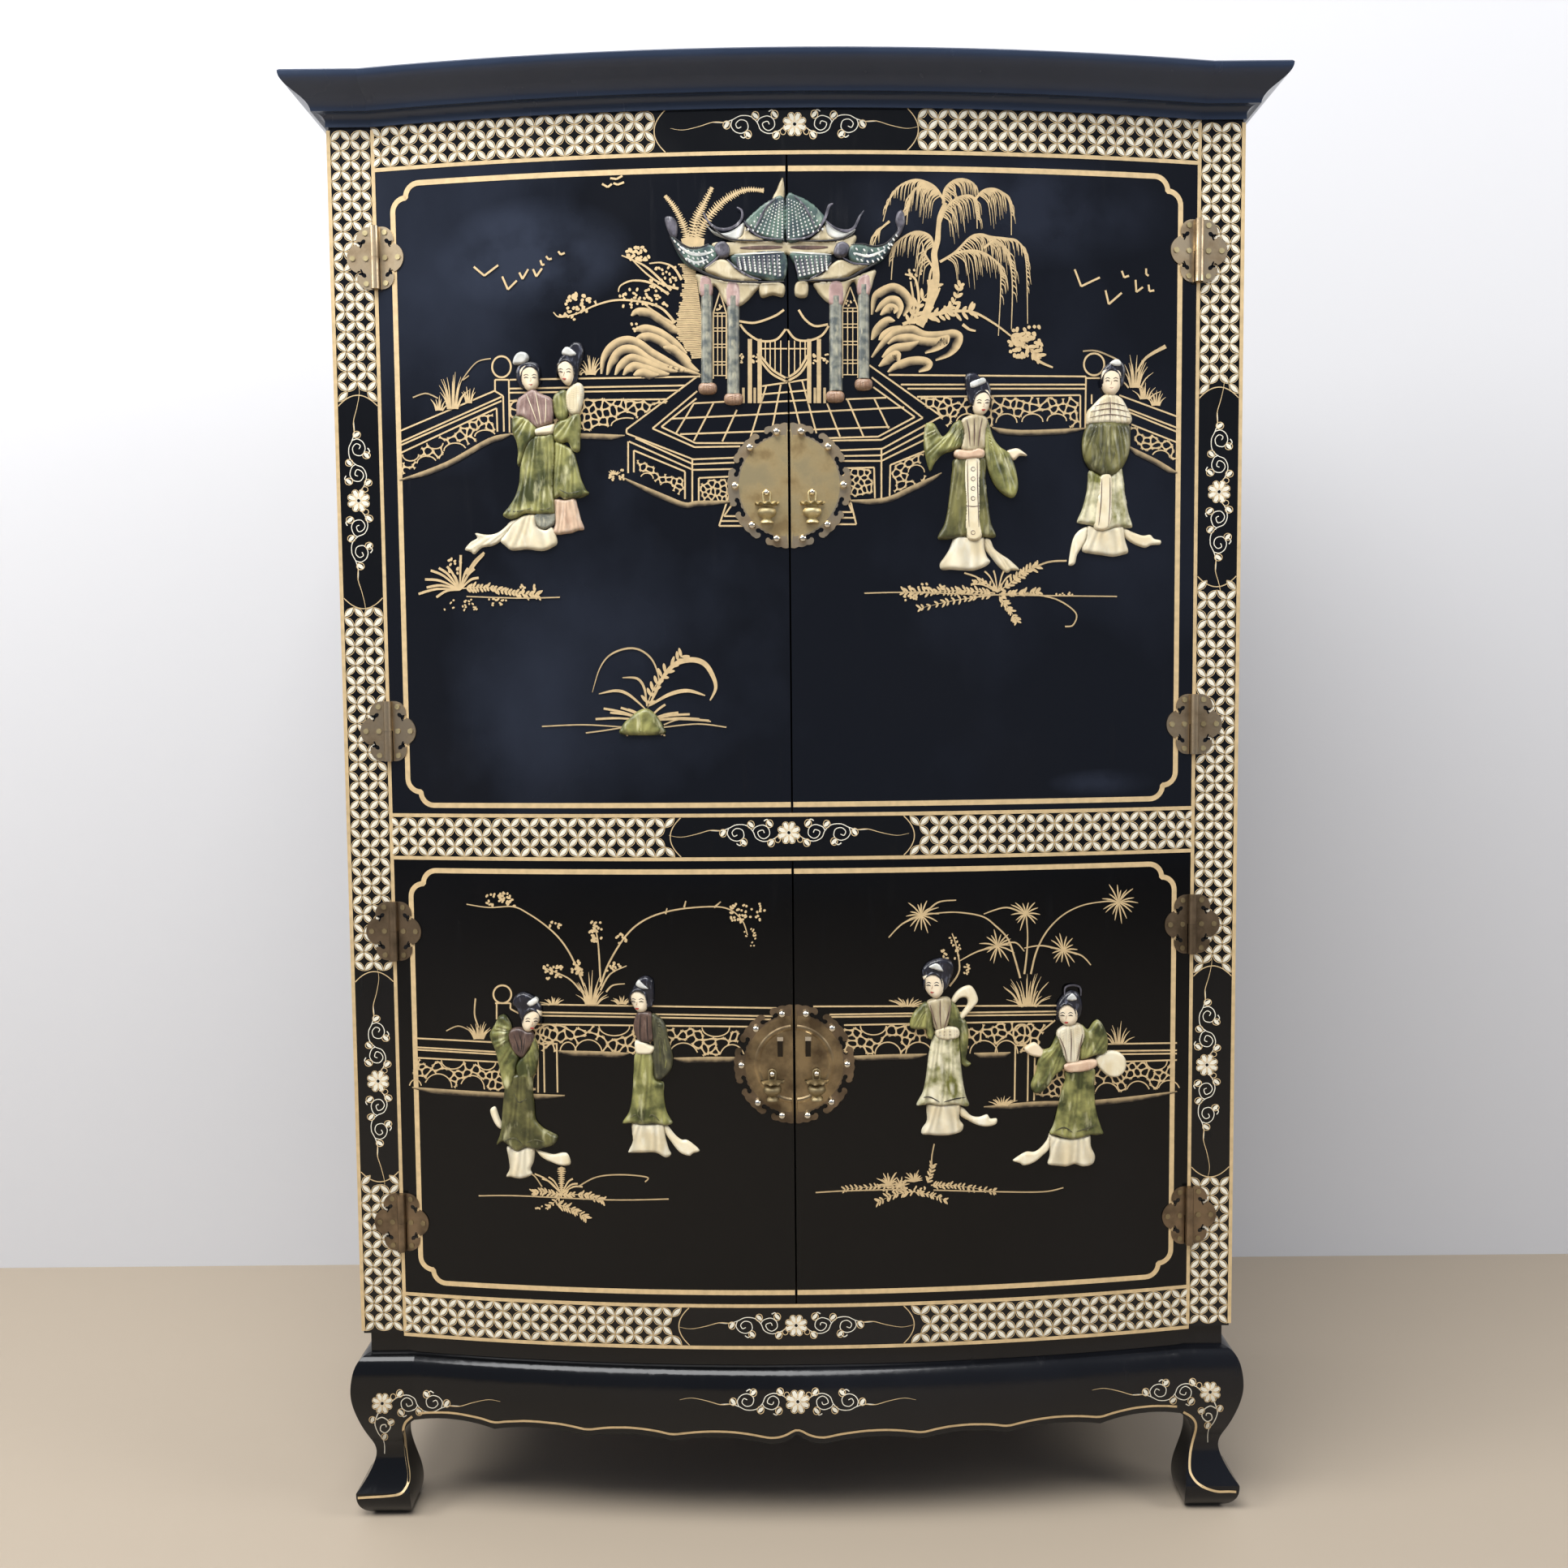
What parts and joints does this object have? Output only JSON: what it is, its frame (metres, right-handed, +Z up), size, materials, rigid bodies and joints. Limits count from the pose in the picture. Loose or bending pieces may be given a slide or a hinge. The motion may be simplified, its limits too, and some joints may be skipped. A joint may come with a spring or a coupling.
{
  "type": "lacquer cabinet",
  "caption": "Bow-fronted black lacquer cabinet on cabriole legs, with hinged upper and lower doors, brass lock plates, pendant pulls, carved stone figures and inner shelves.",
  "frame": {"origin": "on the floor under the middle of the cabinet's bounding box", "axes": "+Z up, -Y towards the viewer who faces the doors, +X to that viewer's right"},
  "size_m": [1.19, 0.5731, 1.782],
  "materials": {
    "black_lacquer": "polished black lacquer with gold painting",
    "lattice_lacquer": "black lacquer with an ivory and gold coin lattice",
    "inner_wood": "dark stained wood",
    "brass": "aged dull brass",
    "soapstone": "carved green soapstone and ivory-coloured bone"
  },
  "bodies": {
    "cabinet": {"cornice_front": "black_lacquer", "cornice_left": "black_lacquer", "cornice_right": "black_lacquer", "waist_front": "black_lacquer", "waist_returns": "black_lacquer", "apron_front": "black_lacquer", "apron_left": "black_lacquer", "apron_right": "black_lacquer", "apron_back": "black_lacquer", "leg_front_left": "black_lacquer", "leg_front_right": "black_lacquer", "leg_back_left": "black_lacquer", "leg_back_right": "black_lacquer", "side_panel_left": "black_lacquer", "side_panel_right": "black_lacquer", "corner_stile_left": "lattice_lacquer", "corner_stile_right": "lattice_lacquer", "top_rail": "lattice_lacquer", "middle_rail": "lattice_lacquer", "bottom_rail": "lattice_lacquer", "back_panel": "inner_wood", "bottom_board": "inner_wood", "middle_board": "inner_wood", "top_board": "inner_wood", "shelf_upper": "inner_wood", "shelf_lower": "inner_wood", "door_stops": "inner_wood", "shelf_pegs": "brass", "frame_hinge_leaves": "brass", "hinge_pins": "brass", "frame_hinge_screws": "brass"},
    "upper_left_door": {"door_upper_left": "black_lacquer", "door_hinge_leaves_upper_left": "brass", "door_hinge_screws_upper_left": "brass", "lock_plate_upper_left": "brass", "lock_studs_upper_left": "brass", "carvings_upper_left": "soapstone"},
    "upper_left_pull": {"urn_pull_upper_left": "brass"},
    "upper_right_door": {"door_upper_right": "black_lacquer", "door_hinge_leaves_upper_right": "brass", "door_hinge_screws_upper_right": "brass", "lock_plate_upper_right": "brass", "lock_studs_upper_right": "brass", "carvings_upper_right": "soapstone"},
    "upper_right_pull": {"urn_pull_upper_right": "brass"},
    "lower_left_door": {"door_lower_left": "black_lacquer", "door_hinge_leaves_lower_left": "brass", "door_hinge_screws_lower_left": "brass", "lock_plate_lower_left": "brass", "lock_studs_lower_left": "brass", "carvings_lower_left": "soapstone"},
    "lower_left_pull": {"urn_pull_lower_left": "brass"},
    "lower_right_door": {"door_lower_right": "black_lacquer", "door_hinge_leaves_lower_right": "brass", "door_hinge_screws_lower_right": "brass", "lock_plate_lower_right": "brass", "lock_studs_lower_right": "brass", "carvings_lower_right": "soapstone"},
    "lower_right_pull": {"urn_pull_lower_right": "brass"}
  },
  "joints": [
    {"name": "upper_left_door_hinge", "type": "hinge", "parent": "cabinet", "child": "upper_left_door", "pos_m": [-0.497, -0.1988, 1.2905], "axis": [0, 0, -1], "range_deg": [0, 150]},
    {"name": "upper_left_pull_swing", "type": "hinge", "parent": "upper_left_door", "child": "upper_left_pull", "pos_m": [-0.027, -0.24556, 1.288], "axis": [-1, 0, 0], "range_deg": [0, 35]},
    {"name": "upper_right_door_hinge", "type": "hinge", "parent": "cabinet", "child": "upper_right_door", "pos_m": [0.497, -0.1988, 1.2905], "axis": [0, 0, 1], "range_deg": [0, 150]},
    {"name": "upper_right_pull_swing", "type": "hinge", "parent": "upper_right_door", "child": "upper_right_pull", "pos_m": [0.027, -0.24556, 1.288], "axis": [-1, 0, 0], "range_deg": [0, 35]},
    {"name": "lower_left_door_hinge", "type": "hinge", "parent": "cabinet", "child": "lower_left_door", "pos_m": [-0.497, -0.1988, 0.5705], "axis": [0, 0, -1], "range_deg": [0, 150]},
    {"name": "lower_left_pull_swing", "type": "hinge", "parent": "lower_left_door", "child": "lower_left_pull", "pos_m": [-0.027, -0.24556, 0.5895], "axis": [-1, 0, 0], "range_deg": [0, 35]},
    {"name": "lower_right_door_hinge", "type": "hinge", "parent": "cabinet", "child": "lower_right_door", "pos_m": [0.497, -0.1988, 0.5705], "axis": [0, 0, 1], "range_deg": [0, 150]},
    {"name": "lower_right_pull_swing", "type": "hinge", "parent": "lower_right_door", "child": "lower_right_pull", "pos_m": [0.027, -0.24556, 0.5895], "axis": [-1, 0, 0], "range_deg": [0, 35]}
  ]
}
